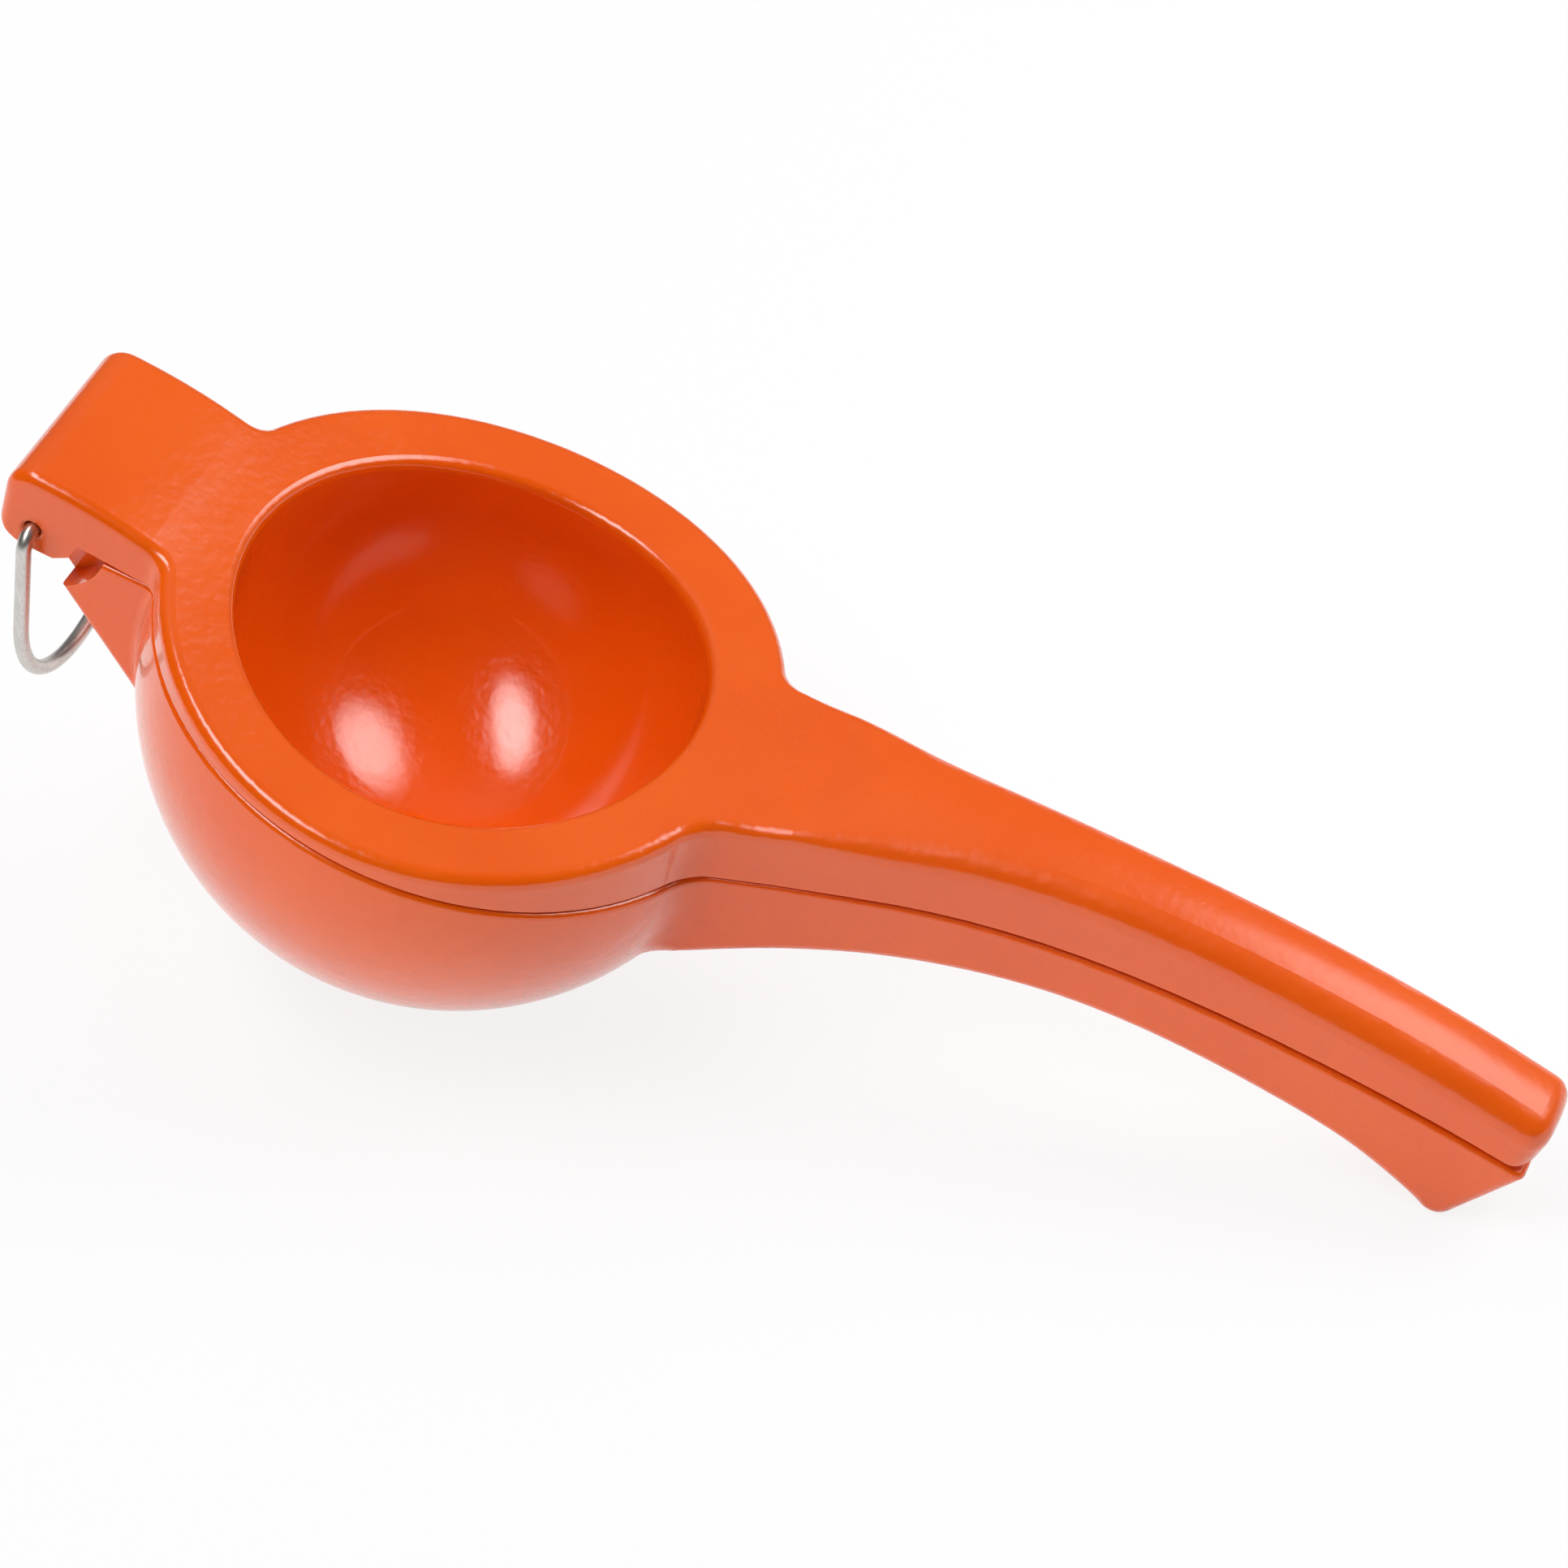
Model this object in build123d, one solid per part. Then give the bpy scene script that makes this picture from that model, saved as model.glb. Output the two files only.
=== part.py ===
from build123d import *
import math
import os

# Lengths in millimetres. Shapes are drawn about the cup: x from the cup centre to the handle
# end, y across, z up from the middle of the flange. The whole is then tipped to its rest pose.
flange_radius = 50.0
flange_dish_radius = 208.0
flange_edge_radius = 2.1
flange_thickness = 3.4
seam_hinge_rise = 1.5
seam_root_fall = 3.7
seam_root_inset = 4.0
seam_root_radius = 6.0
seam_edge_radius = 1.0

bowl_overhang = 0.8
bowl_centre_drop = 11.0
bowl_wall = 3.5
bowl_seam_gap = 0.4

press_gap = 6.3
cup_wall = 3.2
cup_centre_drop = 4.0
cup_lip_radius = 1.8

tab_length = 24.8
tab_half_width = 17.4
tab_bend_length = 8.2
tab_rise = 0.4
tab_bend_radius = 88.0
tab_end_radius = 5.0
tab_notch_radius = 4.0
hinge_inset = 6.1
hinge_drop = 2.4
cheek_front = 0.5
cheek_back = 4.3
cheek_drop = 3.65
cheek_step_length = 6.8
cheek_step_drop = 2.0
cheek_top_length = 7.9
cheek_top_rise = 1.3
cheek_thickness = 4.6
cheek_end_overrun = 0.15
cheek_tip_radius = 0.7
hood_thickness = 4.7
tongue_clearance = 0.3
tongue_radius = 4.5
wire_radius = 1.25
pin_clearance = 0.1
bore_mouth_radius = 2.3

scoop_top_length = 12.6
scoop_top_rise = -0.1
scoop_mid_length = 11.0
scoop_mid_drop = 4.4
lip_length = 6.6
lip_drop = 8.55
gusset_run = 24.4
gusset_fall = 23.46
gusset_fillet_radius = 2.0
gusset_edge_radius = 1.2

neck_length = 10.0
neck_half_width = 15.2
neck_draft = 0.2
neck_notch_radius = 8.0
handle_length = 134.4
handle_half_width = 7.4
handle_end_lean = 9.0
handle_end_radius = 3.5
handle_rise = 7.2
handle_rise_length = 90.0
handle_depth = 12.2
handle_crest_length = 77.0
handle_crest_fall = 5.4
handle_crown_radius = 17.0
handle_gap = 1.0

grip_depth = 11.1
grip_low_edge_radius = 1.8
grip_root_fillet_radius = 8.0
heel_inset = 11.9
heel_drop = 15.5
heel_radius = 3.3
heel_face_lean = 29.0
heel_front_turn = -32.0

ring_half_width = 19.8
ring_leg = 18.6
ring_corner_radius = 2.6
ring_end_gap = 0.4
ring_lean = 7.5

drain_radius = 2.4
drain_spacing = 9.0
drain_counts = (1, 6, 12)
tongue_neck_share = 0.22
edge_shares = (0.05, 0.3, 0.5, 0.7, 0.95)

# Handle stations as shares of the grip beyond the neck, half widths as shares of the way from
# the end width to the neck width, shoulder radii as shares of the half width, and how far the
# crown is bowed, as shares of its full curve.
station_shares = (0.02, 0.06, 0.11, 0.17, 0.25, 0.35, 0.47, 0.60, 0.76, 0.90, 1.0)
width_shares = (0.94, 0.82, 0.655, 0.465, 0.275, 0.13, 0.055, 0.035, 0.03, 0.015, 0.0)
shoulder_shares = (0.18, 0.25, 0.34, 0.42, 0.48, 0.54, 0.58, 0.60, 0.61, 0.61, 0.61)
crown_shares = (0.04, 0.17, 0.38, 0.53, 0.68, 0.85, 0.94, 1.0, 1.0, 1.0, 1.0)
neck_slope_share = 1.25

# The lower grip's underside: places as shares of the way from the flange to the heel, and depths
# below the parting line as shares of the grip depth.
under_place_shares = (-0.10, 0.0, 0.12, 0.285, 0.449, 0.602, 0.766, 0.876, 0.937)
under_depth_shares = (1.905, 1.736, 1.387, 1.138, 1.009, 1.018, 1.133, 1.28, 1.46)

hinge_x = -(flange_radius + tab_length - hinge_inset)
hinge_z = -hinge_drop
tab_end_x = -(flange_radius + tab_length)
neck_x = flange_radius + neck_length
handle_end_x = flange_radius + handle_length
heel_length = handle_length - heel_inset
seam_root_x = flange_radius - seam_root_inset
seam_root_z = -flange_thickness - seam_root_fall
handle_peak_x = flange_radius + handle_rise_length
crest_peak_x = flange_radius + handle_crest_length
crest_peak_z = handle_rise + handle_depth
bowl_radius = flange_radius + bowl_overhang
dome_radius = bowl_radius - bowl_wall - press_gap
cup_radius = dome_radius - cup_wall
slot_half_width = tab_half_width - cheek_thickness
bore_radius = wire_radius + pin_clearance
reach = 4 * flange_radius


def arc_radius(run, rise):
    return (run ** 2 + rise ** 2) / (2 * rise)


def arc_height(x, peak_x, peak_z, radius):
    return peak_z - radius + math.sqrt(radius ** 2 - (x - peak_x) ** 2)


def dish_height(x):
    return flange_dish_radius - math.sqrt(flange_dish_radius ** 2 - x ** 2)


def seam_height(x):
    rise = handle_rise - seam_root_z
    return arc_height(x, handle_peak_x, handle_rise, arc_radius(handle_peak_x - seam_root_x, rise))


def heel_height():
    return seam_height(handle_end_x - heel_inset) - heel_drop


def crest_height(x):
    if x > crest_peak_x:
        fall = arc_radius(handle_end_x - crest_peak_x, handle_crest_fall)
        return arc_height(x, crest_peak_x, crest_peak_z, fall)
    span = crest_peak_x - neck_x
    s = (x - neck_x) / span
    slope = neck_slope_share * neck_x / math.sqrt(flange_dish_radius ** 2 - neck_x ** 2)
    low = (2 * s ** 3 - 3 * s ** 2 + 1) * dish_height(neck_x)
    rise = (s ** 3 - 2 * s ** 2 + s) * span * slope
    return low + rise + (3 * s ** 2 - 2 * s ** 3) * crest_peak_z


def half_width(share):
    return handle_half_width + share * (neck_half_width - handle_half_width)


def by_hinge(along, up):
    return (hinge_x + along, hinge_z + up)


def side_sketch(*edges):
    return make_face(Curve(children=edges))


def side_solid(sketch, half=reach):
    return extrude(Plane.XZ.offset(-half) * sketch, amount=2 * half)


def plan_solid(sketch):
    return extrude(Pos(0, 0, -reach) * sketch, amount=2 * reach)


def flange_seam(drop):
    hinge_end = (-flange_radius, seam_hinge_rise - flange_thickness - drop)
    return ThreePointArc(hinge_end, (0, -flange_thickness - drop), (seam_root_x, seam_root_z - drop))


def handle_seam(start_x, end_x, drop):
    mid_x = (start_x + end_x) / 2
    spots = [(x, seam_height(x) - drop) for x in (start_x, mid_x, end_x)]
    return ThreePointArc(*spots)


def across(radius, length):
    return Pos(hinge_x, 0, hinge_z) * Rot(90, 0, 0) * Cylinder(radius, length)


def near(shapes, x_low, x_high):
    return shapes.filter_by_position(Axis.X, x_low, x_high)


def plate_outline():
    root_half = neck_half_width + neck_draft * neck_x
    corners = [(0, root_half), (neck_x, neck_half_width), (neck_x, -neck_half_width), (0, -root_half)]
    tab = Pos(tab_end_x / 2, 0) * Rectangle(-tab_end_x, 2 * tab_half_width)
    outline = Circle(flange_radius) + tab + make_face(Polyline(*corners, close=True))
    outline = fillet(near(outline.vertices(), -flange_radius, -tab_half_width), tab_notch_radius)
    return fillet(near(outline.vertices(), 0, flange_radius), neck_notch_radius)


def rounded(sketch, rounds):
    for corner, radius in rounds:
        sketch = fillet(sketch.vertices().sort_by_distance(corner)[0], radius)
    return sketch


def below_top():
    bend_x = -(flange_radius + tab_bend_length)
    bend = (bend_x, dish_height(bend_x))
    tab_top = (tab_end_x, dish_height(bend_x) + tab_rise)
    neck_top = (neck_x, dish_height(neck_x))
    sketch = side_sketch(
        ThreePointArc(neck_top, (0, 0), bend),
        Line(bend, tab_top),
        Polyline(tab_top, (tab_end_x, -reach), (neck_x, -reach), neck_top),
    )
    return side_solid(rounded(sketch, [(bend, tab_bend_radius), (tab_top, tab_end_radius)]))


def above_seam():
    end_radius = hinge_inset - cheek_front + cheek_end_overrun
    in_bend = end_radius * math.sqrt(0.5)
    end = by_hinge(-cheek_front - end_radius, end_radius - cheek_drop)
    end_middle = by_hinge(-cheek_front - in_bend, end_radius - cheek_drop - in_bend)
    under = [
        by_hinge(-cheek_front, -cheek_drop),
        by_hinge(cheek_back, -cheek_drop),
        by_hinge(cheek_step_length, -cheek_step_drop),
        by_hinge(cheek_top_length, cheek_top_rise),
        (-flange_radius, seam_hinge_rise - flange_thickness),
    ]
    far = (handle_peak_x, handle_rise)
    sketch = side_sketch(
        ThreePointArc(end, end_middle, under[0]),
        Polyline(*under),
        flange_seam(0),
        handle_seam(seam_root_x, handle_peak_x, 0),
        Polyline(far, (handle_peak_x, reach), (-reach, reach), (-reach, end[1]), end),
    )
    rounds = [(under[1], cheek_tip_radius), ((seam_root_x, seam_root_z), seam_root_radius)]
    return side_solid(rounded(sketch, rounds))


def handle_section(share, width_share, shoulder_share, crown_share):
    x = neck_x + share * (handle_end_x - neck_x)
    w = half_width(width_share)
    low = seam_height(x)
    top = crest_height(x)
    r = shoulder_share * w
    crown = handle_crown_radius / crown_share
    tilt = math.asin((w - r) / (crown - r))
    turn = (tilt + math.pi / 2) / 2
    spring = top - crown + (crown - r) * math.cos(tilt)
    middle = (w - r + r * math.sin(turn), spring + r * math.cos(turn))
    join = (crown * math.sin(tilt), top - crown + crown * math.cos(tilt))
    right = [Line((w, low), (w, spring)), ThreePointArc((w, spring), middle, join)]
    left = [mirror(edge, Plane.YZ) for edge in right]
    crown_arc = ThreePointArc(join, (0, top), (-join[0], join[1]))
    section = make_face(Curve(children=[Line((-w, low), (w, low)), *right, crown_arc, *left]))
    return Plane(origin=(x, 0, 0), x_dir=(0, 1, 0), z_dir=(1, 0, 0)) * section


def end_cut():
    top = Pos(handle_end_x, 0, crest_height(handle_end_x))
    size = (handle_depth, 4 * handle_half_width, 4 * handle_depth)
    block = Box(*size, align=(Align.MIN, Align.CENTER, Align.CENTER))
    return top * Rot(0, handle_end_lean, 0) * block


def upper_press_arm():
    plate = plan_solid(plate_outline()) & below_top()
    tops = plate.faces().filter_by(lambda f: f.normal_at().Z > 0.8)
    walls = plate.faces().filter_by(lambda f: abs(f.normal_at().Z) < 0.1)
    walls = ShapeList(walls.sort_by(Axis.X)[:-1])
    plate = fillet(tops.edges() & walls.edges(), flange_edge_radius) & above_seam()
    plate -= Cylinder(cup_radius, reach)
    lip = plate.edges().filter_by(on_cup_wall).sort_by(Axis.Z)[-1]
    plate = fillet(lip, cup_lip_radius)
    neck_face = plate.faces().sort_by(Axis.X)[-1]
    stations = zip(station_shares, width_shares, shoulder_shares, crown_shares)
    sections = [handle_section(*station).face() for station in stations]
    handle = loft([neck_face, *sections]) - end_cut()
    handle = fillet(handle.faces().sort_by(Axis.X)[-1].edges(), handle_end_radius)
    dome = rounded_well(dome_radius, cup_centre_drop - cup_lip_radius) - rounded_well(cup_radius, reach)
    return plate + handle + dome


def on_cup_wall(edge):
    spot = edge @ 0.5
    return abs(math.hypot(spot.X, spot.Y) - cup_radius) < cup_wall / 100


def rounded_well(radius, height):
    centre = Pos(0, 0, -cup_centre_drop)
    mouth = Cylinder(radius, height, align=(Align.CENTER, Align.CENTER, Align.MIN))
    return centre * (Sphere(radius, arc_size2=0, align=None) + mouth)


def cut_hinge(arm):
    slot_end_x = hinge_x + scoop_top_length + 2 * tongue_clearance
    bend_x = -(flange_radius + tab_bend_length)
    ceiling_z = dish_height(bend_x) - hood_thickness
    size = (slot_end_x - tab_end_x + tab_length, 2 * slot_half_width, reach)
    arm -= Pos(slot_end_x, 0, ceiling_z) * Box(*size, align=(Align.MAX, Align.CENTER, Align.MAX))
    arm -= across(bore_radius, reach)
    rounds = arm.edges().filter_by(GeomType.CIRCLE)
    rounds = rounds.filter_by(lambda e: abs(e.radius - bore_radius) < pin_clearance)
    mouths = rounds.filter_by(lambda e: abs(e.arc_center.Y) > tab_half_width - pin_clearance)
    return fillet(mouths, bore_mouth_radius - bore_radius)


def lip_spot(share):
    return by_hinge(lip_length + share * gusset_run, -lip_drop - share * gusset_fall)


def rounded_gusset():
    scoop_top = by_hinge(scoop_top_length, scoop_top_rise)
    scoop_mid = by_hinge(scoop_mid_length, -scoop_mid_drop)
    low = lip_spot(1)
    outline = [lip_spot(0), low, (low[0], flange_thickness), (scoop_top[0], flange_thickness), scoop_top]
    gusset = side_solid(
        side_sketch(ThreePointArc(scoop_top, scoop_mid, lip_spot(0)), Polyline(*outline)), tab_half_width
    )
    walls = gusset.faces().filter_by(Axis.Y)
    unders = gusset.faces().filter_by(lambda f: max(f.normal_at().X, f.normal_at().Z) < 0)
    return fillet(walls.edges() & unders.edges(), gusset_edge_radius)


def on_ball(edge):
    centre = Vector(0, 0, -bowl_centre_drop)
    misses = [abs((edge @ share - centre).length - bowl_radius) for share in edge_shares]
    return max(misses) < pin_clearance / 10


def untrimmed_arm():
    ball = Pos(0, 0, -bowl_centre_drop) * Rot(0, 0, 90) * Sphere(bowl_radius)
    arm = ball + rounded_gusset()
    joint = arm.edges().filter_by(on_ball).filter_by(lambda e: e.center().X < -tab_half_width)
    arm = fillet(joint, gusset_fillet_radius) + rounded_grip()
    joint = arm.edges().filter_by(on_ball).filter_by(lambda e: e.center().X > tab_half_width)
    return fillet(ShapeList(joint.sort_by(Axis.Z)[:-1]), grip_root_fillet_radius)


def below_seam():
    root = (seam_root_x, seam_root_z - bowl_seam_gap)
    peak = (handle_peak_x, handle_rise - handle_gap)
    far_x = handle_end_x + handle_depth
    far = (far_x, seam_height(far_x) - handle_gap)
    scoop_top = by_hinge(scoop_top_length, scoop_top_rise)
    hinge_end = (-flange_radius, seam_hinge_rise - flange_thickness - bowl_seam_gap)
    outline = [far, (far_x, -reach), (-reach, -reach), (-reach, scoop_top[1]), scoop_top, hinge_end]
    sketch = side_sketch(flange_seam(bowl_seam_gap), ThreePointArc(root, peak, far), Polyline(*outline))
    return side_solid(rounded(sketch, [(root, seam_root_radius)]))


def grip_outline():
    span = handle_end_x - neck_x
    spots = [(neck_x + s * span, half_width(w)) for s, w in zip(station_shares, width_shares)]
    near_side = [(neck_x, neck_half_width), *spots]
    far_side = [(x, -y) for x, y in near_side]
    root_x = flange_radius + under_place_shares[0] * heel_length
    root_half = neck_half_width + neck_draft * (neck_x - root_x)
    edges = [
        Line((root_x, root_half), near_side[0]),
        Spline(*near_side, tangents=[(1, -neck_draft), (1, 0)]),
        Line(near_side[-1], far_side[-1]),
        Spline(*far_side, tangents=[(1, neck_draft), (1, 0)]),
        Line(far_side[0], (root_x, -root_half)),
        Line((root_x, -root_half), (root_x, root_half)),
    ]
    return make_face(Curve(children=edges))


def heel_spot(angle):
    x = handle_end_x - heel_inset
    turn = math.radians(angle)
    return (x + heel_radius * math.cos(turn), heel_height() + heel_radius * math.sin(turn))


def grip_side():
    places = [flange_radius + s * heel_length for s in under_place_shares]
    under = [(x, seam_height(x) - d * grip_depth) for x, d in zip(places, under_depth_shares)]
    front = heel_spot(heel_front_turn - 90)
    back = heel_spot(-heel_face_lean)
    turn = math.radians(heel_front_turn)
    flare = (-math.cos(turn), -math.sin(turn))
    lean = math.tan(math.radians(heel_face_lean))
    top_z = handle_rise + flange_thickness
    tip = (back[0] + (top_z - back[1]) * lean, top_z)
    root = (places[0], top_z)
    return side_sketch(
        Line(root, tip),
        Line(tip, back),
        ThreePointArc(back, heel_spot(-90), front),
        Spline(front, *reversed(under), tangents=[flare, Vector(under[0]) - Vector(under[1])]),
        Line(under[0], root),
    )


def tongue_side():
    neck = [
        by_hinge(0, tongue_radius),
        by_hinge(scoop_top_length, scoop_top_rise),
        by_hinge(scoop_mid_length + lip_length, -scoop_mid_drop),
        lip_spot(0),
        lip_spot(-tongue_neck_share),
    ]
    return Pos(hinge_x, hinge_z) * Circle(tongue_radius) + make_face(Polyline(*neck, close=True))


def rounded_grip():
    grip = plan_solid(grip_outline()) & side_solid(grip_side())
    walls = grip.faces().filter_by(lambda f: abs(f.normal_at().Y) > 0.7)
    unders = grip.faces().filter_by(lambda f: f.normal_at().Z < -0.3)
    return fillet(walls.edges() & unders.edges(), grip_low_edge_radius)


def lower_bowl_arm():
    arm = untrimmed_arm() & below_seam()
    rim = arm.edges().filter_by(on_ball).filter_by(lambda e: (e @ 0.5).Z > -bowl_centre_drop)
    arm = fillet(rim, seam_edge_radius)
    arm -= Pos(0, 0, -bowl_centre_drop) * Rot(0, 0, 90) * Sphere(bowl_radius - bowl_wall)
    arm += side_solid(tongue_side(), slot_half_width - tongue_clearance)
    arm -= across(bore_radius, reach)
    for row, count in enumerate(drain_counts):
        for spot in PolarLocations(row * drain_spacing, count):
            arm -= spot * Cylinder(drain_radius, reach, align=(Align.CENTER, Align.CENTER, Align.MAX))
    return arm


def hanging_ring():
    lean = math.radians(ring_lean)
    normal = (-math.cos(lean), 0, -math.sin(lean))
    plane = Plane(origin=(hinge_x, 0, hinge_z), x_dir=(0, 1, 0), z_dir=normal)
    w = ring_half_width
    r = ring_corner_radius
    in_bend = r - r * math.sqrt(0.5)
    half = [
        Line((ring_end_gap / 2, 0), (w - r, 0)),
        ThreePointArc((w - r, 0), (w - in_bend, in_bend), (w, r)),
        Line((w, r), (w, ring_leg)),
    ]
    bottom = ThreePointArc((w, ring_leg), (0, ring_leg + w), (-w, ring_leg))
    other = [
        Line((-w, ring_leg), (-w, r)),
        ThreePointArc((-w, r), (in_bend - w, in_bend), (r - w, 0)),
        Line((r - w, 0), (-ring_end_gap / 2, 0)),
    ]
    path = plane * Wire([*half, bottom, *other])
    start = Plane(origin=path @ 0, z_dir=path % 0)
    return sweep(start * Circle(wire_radius), path=path)


def rest_pitch():
    run = handle_end_x - heel_inset
    rise = heel_height() + bowl_centre_drop
    dip = math.asin((bowl_radius - heel_radius) / math.hypot(run, rise))
    return math.degrees(math.atan2(rise, run) + dip)


nodes = {
    "upper_press_arm": cut_hinge(upper_press_arm()),
    "lower_bowl_arm": lower_bowl_arm(),
    "hanging_ring": hanging_ring(),
}
pose = Rot(0, rest_pitch(), 0)
lift = bowl_radius - (pose * Pos(0, 0, -bowl_centre_drop)).position.Z
pose = Pos(0, 0, lift) * pose
boxes = [(pose * shape).bounding_box() for shape in nodes.values()]
middle_x = (min(b.min.X for b in boxes) + max(b.max.X for b in boxes)) / 2
pose = Pos(-middle_x, 0, 0) * pose
os.makedirs("parts", exist_ok=True)
for name, shape in nodes.items():
    placed = pose * shape
    print(name, placed.is_valid, round(placed.volume), placed.bounding_box())
    export_step(placed, f"parts/{name}.step")
print("hinge", (pose * Pos(hinge_x, 0, hinge_z)).position, "pitch", rest_pitch(), "cup", pose.position)
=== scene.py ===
import math

import bpy
from mathutils import Euler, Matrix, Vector

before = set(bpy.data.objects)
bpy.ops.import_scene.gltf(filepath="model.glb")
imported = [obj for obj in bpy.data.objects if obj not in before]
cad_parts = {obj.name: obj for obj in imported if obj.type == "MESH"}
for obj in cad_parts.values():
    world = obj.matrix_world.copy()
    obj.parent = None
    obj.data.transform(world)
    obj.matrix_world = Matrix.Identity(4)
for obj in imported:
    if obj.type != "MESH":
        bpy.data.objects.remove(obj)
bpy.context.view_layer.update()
scene = bpy.context.scene
print("press loaded:", sorted(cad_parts))


# a socket that can be added, taken away, multiplied and raised to a power
class Port:
    def __init__(self, socket):
        self.socket = socket

    def maths(self, operation, first, second):
        return addNode(self.socket.id_data, "Math", {"operation": operation}, {0: first, 1: second})

    def __add__(self, other):
        return self.maths("ADD", self, other)

    def __radd__(self, other):
        return self.maths("ADD", other, self)

    def __sub__(self, other):
        return self.maths("SUBTRACT", self, other)

    def __rsub__(self, other):
        return self.maths("SUBTRACT", other, self)

    def __mul__(self, other):
        return self.maths("MULTIPLY", self, other)

    def __rmul__(self, other):
        return self.maths("MULTIPLY", other, self)

    def __pow__(self, other):
        return self.maths("POWER", self, other)


# any node: its settings first, then its sockets, and the wanted output
def addNode(tree, kind, settings, sockets, out=0):
    node = tree.nodes.new("ShaderNode" + kind)
    for name, value in settings.items():
        setattr(node, name, value)
    for name, value in sockets.items():
        if isinstance(value, Port):
            tree.links.new(value.socket, node.inputs[name])
        else:
            node.inputs[name].default_value = value
    return Port(node.outputs[out]) if len(node.outputs) else node


def newMaterial(name):
    material = bpy.data.materials.new(name)
    material.use_nodes = True
    material.node_tree.nodes.clear()
    return material, material.node_tree


def addNoise(tree, place, scale, detail):
    return addNode(tree, "TexNoise", {}, {"Vector": place, "Scale": scale, "Detail": detail})


def takeAxis(tree, vector, axis):
    return addNode(tree, "SeparateXYZ", {}, {"Vector": vector}, axis)


def blendColours(tree, amount, first, second):
    return addNode(tree, "Mix", {"data_type": "RGBA"}, {0: amount, 6: first, 7: second}, 2)


# 0 at the first end of the span, 1 at the second
def smoothMask(tree, value, span):
    sockets = {"Value": value, "From Min": span[0], "From Max": span[1]}
    return addNode(tree, "MapRange", {"interpolation_type": "SMOOTHSTEP"}, sockets)


# glossy orange enamel over cast metal
enamel = dict(
    deep=(0.83, 0.098, 0.001, 1), body=(0.87, 0.112, 0.002, 1),
    cloudScale=34, cloudDetail=3, cloudSpan=(0.32, 0.68), cloudRoughness=0.06,
    # lighter edge colour: thinner enamel plus a painted highlight
    thinEnamelAndHighlight=(0.92, 0.17, 0.016, 1), edgeReach=0.0016, edgeSpan=(0.25, 0.9), edgeShare=0.55,
    # darker corner colour: painted shade in corners and creases
    paintedShade=(0.62, 0.035, 0.001, 1), paintedShadeReach=0.004, paintedShadeSpan=(0.35, 0.95), paintedShadeShare=0.5,
    reachSamples=6,
    speck=(0.95, 0.30, 0.10, 1), speckScale=260, speckSpan=(0.07, 0.02), speckPick=(0.955, 0.975),
    speckShare=0.7, speckHeight=0.6,
    peelScale=620, peelDetail=1.5, peelHeight=0.7, peelDepth=0.00017,
    rippleScale=200, rippleDetail=1, rippleHeight=0.9,
    satinAlong=(-0.03, 0.03), satinFacing=(0.2, 0.6), satinRoughness=0.14, satinDulling=0.6,
    roughness=0.22, ior=1.5, specular=0.32,
    coat=0.75, coatPeel=0.1, coatRoughness=0.05, coatIor=1.55,
)


def makeEnamel():
    material, tree = newMaterial("orangeEnamel")
    place = addNode(tree, "TexCoord", {}, {}, "Object")
    cloud = addNoise(tree, place, enamel["cloudScale"], enamel["cloudDetail"])
    peel = addNoise(tree, place, enamel["peelScale"], enamel["peelDetail"])
    ripple = addNoise(tree, place, enamel["rippleScale"], enamel["rippleDetail"])

    # tiny bright specks in a few of the cells
    cell = {"Vector": place, "Scale": enamel["speckScale"]}
    away = addNode(tree, "TexVoronoi", {}, cell, "Distance")
    middle = addNode(tree, "TexVoronoi", {}, cell, "Position")
    pick = addNode(tree, "TexWhiteNoise", {}, {"Vector": middle}, "Value")
    speck = smoothMask(tree, away, enamel["speckSpan"]) * smoothMask(tree, pick, enamel["speckPick"])

    # outer edges are lightened, partly thinner enamel and partly a painted highlight; corners and creases are
    # darkened with painted shade
    reach = {"samples": enamel["reachSamples"], "only_local": True}
    inward = {**reach, "inside": True}
    edge = addNode(tree, "AmbientOcclusion", inward, {"Distance": enamel["edgeReach"]}, "AO")
    cornerOcclusion = addNode(tree, "AmbientOcclusion", reach, {"Distance": enamel["paintedShadeReach"]}, "AO")
    thinAndHighlit = smoothMask(tree, 1 - edge, enamel["edgeSpan"]) * enamel["edgeShare"]
    paintedCornerShade = smoothMask(tree, 1 - cornerOcclusion, enamel["paintedShadeSpan"]) * enamel["paintedShadeShare"]

    clouding = smoothMask(tree, cloud, enamel["cloudSpan"])
    colour = blendColours(tree, clouding, enamel["deep"], enamel["body"])
    # lighten outer edges: thinner enamel and a painted highlight
    colour = blendColours(tree, thinAndHighlit, colour, enamel["thinEnamelAndHighlight"])
    # darken corners and creases with painted shade
    colour = blendColours(tree, paintedCornerShade, colour, enamel["paintedShade"])
    colour = blendColours(tree, speck * enamel["speckShare"], colour, enamel["speck"])

    # the top of the grip is handled to a satin
    along = takeAxis(tree, place, "X")
    facing = takeAxis(tree, addNode(tree, "TexCoord", {}, {}, "Normal"), "Z")
    satin = smoothMask(tree, along, enamel["satinAlong"]) * smoothMask(tree, facing, enamel["satinFacing"])
    roughness = enamel["roughness"] + cloud * enamel["cloudRoughness"] + satin * enamel["satinRoughness"]
    coat = (enamel["coat"] + peel * enamel["coatPeel"]) * (1 - satin * enamel["satinDulling"])

    height = peel * enamel["peelHeight"] + ripple * enamel["rippleHeight"] + speck * enamel["speckHeight"]
    bump = addNode(tree, "Bump", {}, {"Strength": 1, "Distance": enamel["peelDepth"], "Height": height})
    shader = addNode(tree, "BsdfPrincipled", {}, {
        "Base Color": colour, "Roughness": roughness, "Normal": bump,
        "IOR": enamel["ior"], "Specular IOR Level": enamel["specular"],
        "Coat Weight": coat, "Coat Roughness": enamel["coatRoughness"], "Coat IOR": enamel["coatIor"],
    })
    addNode(tree, "OutputMaterial", {}, {"Surface": shader})
    return material


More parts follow.
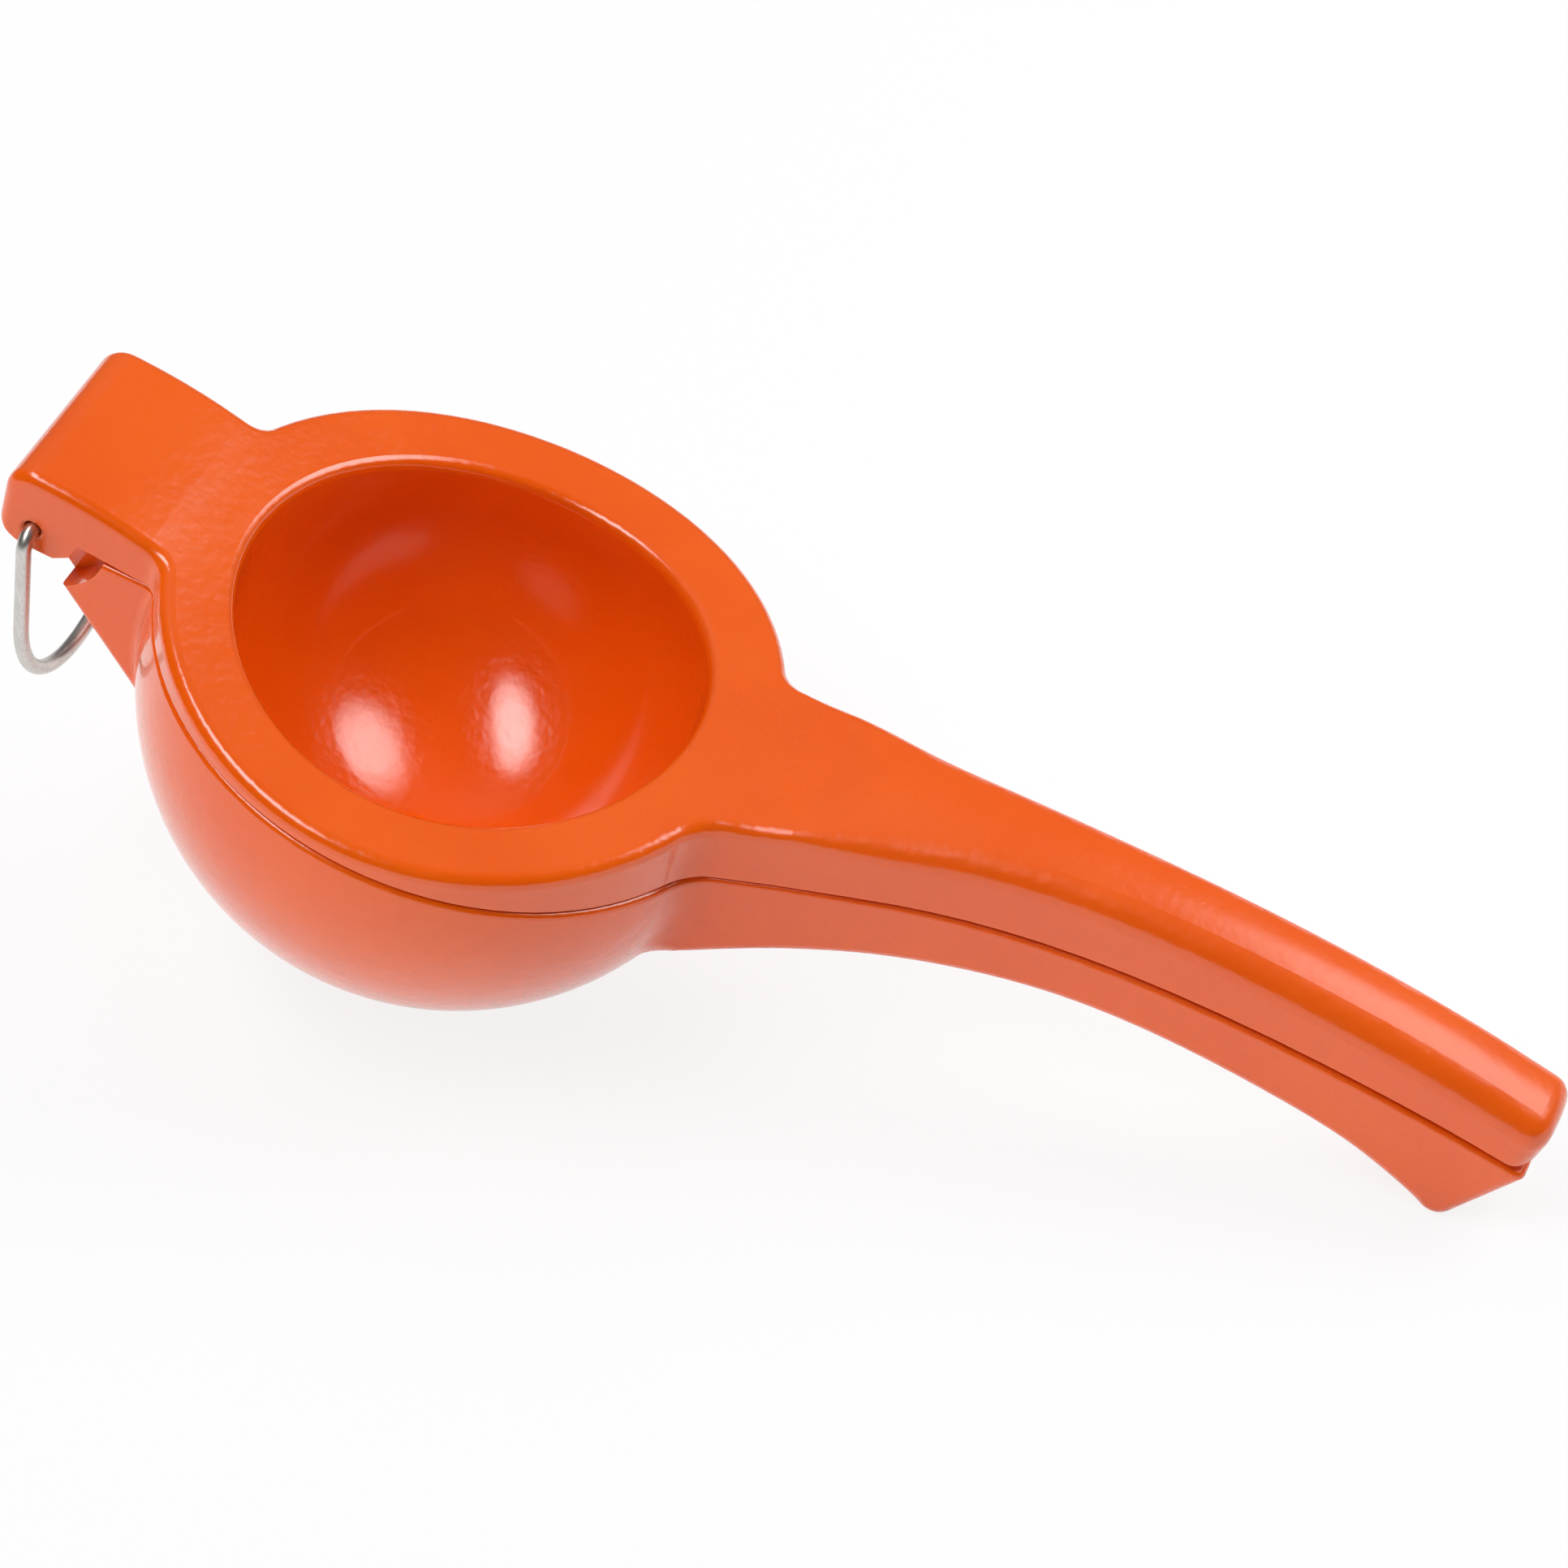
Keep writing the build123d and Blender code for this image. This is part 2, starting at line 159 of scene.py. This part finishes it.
# satin drawn wire: streaks run along the legs and round the loop
wire = dict(
    bright=(0.76, 0.74, 0.71, 1), dull=(0.60, 0.58, 0.55, 1), shadeSpan=(0.38, 0.62),
    hinge=(-0.119611, 0, 0.078362), lean=8.824, legLength=0.0186,
    streakScale=5200, streakDetail=2, streakDrift=0.01, streakShare=0.6,
    streakDepth=0.000012, streakStrength=0.6,
    stainScale=160, stainDetail=3, stainShare=0.4, stainRoughness=0.16, roughness=0.3,
)


def makeWire():
    material, tree = newMaterial("satinWire")
    place = addNode(tree, "TexCoord", {}, {}, "Object")
    place = addNode(tree, "VectorMath", {"operation": "SUBTRACT"}, {0: place, 1: wire["hinge"]})
    turn = (0, math.radians(wire["lean"]), 0)
    place = addNode(tree, "VectorRotate", {"rotation_type": "EULER_XYZ"}, {"Vector": place, "Rotation": turn})

    # below the legs the streaks follow the loop, measured from its middle
    depth = takeAxis(tree, place, "X")
    across = takeAxis(tree, place, "Y")
    drop = takeAxis(tree, place, "Z") + wire["legLength"]
    drop = drop.maths("MINIMUM", drop, 0)
    outward = (across * across + drop * drop) ** 0.5
    track = addNode(tree, "CombineXYZ", {}, {"X": outward, "Y": depth, "Z": across * wire["streakDrift"]})
    streak = addNoise(tree, track, wire["streakScale"], wire["streakDetail"])
    stain = addNoise(tree, place, wire["stainScale"], wire["stainDetail"])

    mottle = streak * wire["streakShare"] + stain * wire["stainShare"]
    colour = blendColours(tree, smoothMask(tree, mottle, wire["shadeSpan"]), wire["dull"], wire["bright"])
    bump = addNode(tree, "Bump", {}, {
        "Strength": wire["streakStrength"], "Distance": wire["streakDepth"], "Height": streak,
    })
    shader = addNode(tree, "BsdfPrincipled", {}, {
        "Base Color": colour, "Metallic": 1,
        "Roughness": wire["roughness"] + stain * wire["stainRoughness"], "Normal": bump,
    })
    addNode(tree, "OutputMaterial", {}, {"Surface": shader})
    return material


def dress(name, material):
    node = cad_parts[name]
    node.data.materials.clear()
    node.data.materials.append(material)


orangeEnamel = makeEnamel()
dress("upper_press_arm", orangeEnamel)
dress("lower_bowl_arm", orangeEnamel)
dress("hanging_ring", makeWire())
print("enamel and wire finishes on")


# white sweep: the camera and shiny things see it white, and it keeps the shadow
sweep = dict(
    size=6, gap=0.0002, colour=(0.94, 0.94, 0.94, 1),
    grainScale=40, grainDetail=2, grainRoughness=0.2, roughness=0.4,
    whiteShare=0.86, mirrorShare=0.7, whiteSpan=(0.3, 0.9),
)


# far from the press the floor is as white as the room behind it
def seenWhite(tree, place):
    camera, glossy, through = [
        addNode(tree, "LightPath", {}, {}, "Is " + ray + " Ray")
        for ray in ("Camera", "Glossy", "Transmission")
    ]
    mirrored = glossy.maths("MAXIMUM", glossy, through) * sweep["mirrorShare"]
    away = addNode(tree, "VectorMath", {"operation": "LENGTH"}, {0: place}, "Value")
    far = smoothMask(tree, away, sweep["whiteSpan"])
    white = camera * (sweep["whiteShare"] + far * (1 - sweep["whiteShare"]))
    return mirrored.maths("MAXIMUM", mirrored, white)


def makeSweep():
    half = sweep["size"] / 2
    corners = [(-half, -half, 0), (half, -half, 0), (half, half, 0), (-half, half, 0)]
    mesh = bpy.data.meshes.new("sweep")
    mesh.from_pydata(corners, [], [(0, 1, 2, 3)])
    floor = bpy.data.objects.new("sweep", mesh)
    scene.collection.objects.link(floor)
    floor.location.z = -sweep["gap"]
    material, tree = newMaterial("whiteSweep")
    place = addNode(tree, "TexCoord", {}, {}, "Object")
    grain = addNoise(tree, place, sweep["grainScale"], sweep["grainDetail"])
    roughness = grain * sweep["grainRoughness"] + sweep["roughness"]
    paper = addNode(tree, "BsdfDiffuse", {}, {"Color": sweep["colour"], "Roughness": roughness})
    glow = addNode(tree, "Emission", {}, {"Color": (1, 1, 1, 1), "Strength": 1})
    seen = addNode(tree, "MixShader", {}, {0: seenWhite(tree, place), 1: paper, 2: glow})
    addNode(tree, "OutputMaterial", {}, {"Surface": seen})
    mesh.materials.append(material)


makeSweep()
print("sweep laid")


# studio: a dim room, paler high up behind, with soft boxes that fade to their edges
room = dict(pale=0.17, dim=0.015, highSpan=(-0.5, 0.6), behindSpan=(-0.1, 0.5))
boxes = dict(aim=(-0.03, 0, 0.04), fadeSpan=(0.14, 0.5))
softBoxes = [
    dict(name="keyBox", toward=(-0.21, -0.34, 0.91), distance=1.2, size=(0.6, 1.46),
         energy=23.4, turn=54, mirrored=True),
    dict(name="sideBox", toward=(0.60, 0.42, 0.68), distance=0.8, size=(0.84, 0.68),
         energy=10.8, turn=0, mirrored=True),
    dict(name="topBox", toward=(-0.4, 0.42, 0.82), distance=1.2, size=(1.2, 1.2),
         energy=10.4, turn=0, mirrored=False),
    dict(name="leftBox", toward=(-0.80, -0.60, 0.02), distance=1.6, size=(1.6, 0.12),
         energy=21, turn=0, mirrored=False),
    dict(name="frontBox", toward=(0.25, -0.97, 0.02), distance=1.6, size=(1.6, 0.12),
         energy=8.5, turn=0, mirrored=False),
]


def makeRoom():
    world = bpy.data.worlds.new("studioRoom")
    scene.world = world
    world.use_nodes = True
    tree = world.node_tree
    tree.nodes.clear()
    toward = addNode(tree, "TexCoord", {}, {}, "Generated")
    high = smoothMask(tree, takeAxis(tree, toward, "Z"), room["highSpan"])
    behind = smoothMask(tree, takeAxis(tree, toward, "Y"), room["behindSpan"])
    level = room["dim"] + high * behind * (room["pale"] - room["dim"])
    camera = addNode(tree, "LightPath", {}, {}, "Is Camera Ray")
    air = addNode(tree, "Background", {}, {"Color": level + camera * (1 - level), "Strength": 1})
    addNode(tree, "OutputWorld", {}, {"Surface": air})


def softenLamp(lamp):
    lamp.use_nodes = True
    tree = lamp.node_tree
    tree.nodes.clear()
    spot = addNode(tree, "NewGeometry", {}, {}, "Parametric")
    along = takeAxis(tree, spot, "X") - 0.5  # 0 in the middle of the lamp's face
    up = takeAxis(tree, spot, "Y") - 0.5
    fade = 1 - smoothMask(tree, (along * along + up * up) ** 0.5, boxes["fadeSpan"])
    glow = addNode(tree, "Emission", {}, {"Color": fade, "Strength": 1})
    addNode(tree, "OutputLight", {}, {"Surface": glow})


def makeSoftBoxes():
    for box in softBoxes:
        lamp = bpy.data.lights.new(box["name"], "AREA")
        lamp.shape = "RECTANGLE"
        lamp.size, lamp.size_y = box["size"]
        lamp.energy = box["energy"]
        softenLamp(lamp)
        holder = bpy.data.objects.new(box["name"], lamp)
        holder.visible_glossy = box["mirrored"]
        holder.visible_camera = False
        scene.collection.objects.link(holder)
        toward = Vector(box["toward"]).normalized()
        holder.location = Vector(boxes["aim"]) + toward * box["distance"]
        tilt = toward.to_track_quat("Z", "Y").to_matrix()
        spin = Euler((0, 0, math.radians(box["turn"]))).to_matrix()
        holder.rotation_euler = (tilt @ spin).to_euler()


makeRoom()
makeSoftBoxes()
print("studio lit")


# camera solved from the round flange and the ball of the bowl
lens = dict(
    location=(0.262748, -0.604747, 0.63658), rotation=(48.25971, 1.3784, 22.28768),
    focal=130.435, sensor=36, clip=(0.01, 50),
)


def makeCamera():
    data = bpy.data.cameras.new("studioCamera")
    data.lens, data.sensor_width = lens["focal"], lens["sensor"]
    data.clip_start, data.clip_end = lens["clip"]
    camera = bpy.data.objects.new("studioCamera", data)
    scene.collection.objects.link(camera)
    camera.location = lens["location"]
    camera.rotation_euler = [math.radians(angle) for angle in lens["rotation"]]
    scene.camera = camera


makeCamera()
scene.view_settings.view_transform = "Standard"
print("camera set")
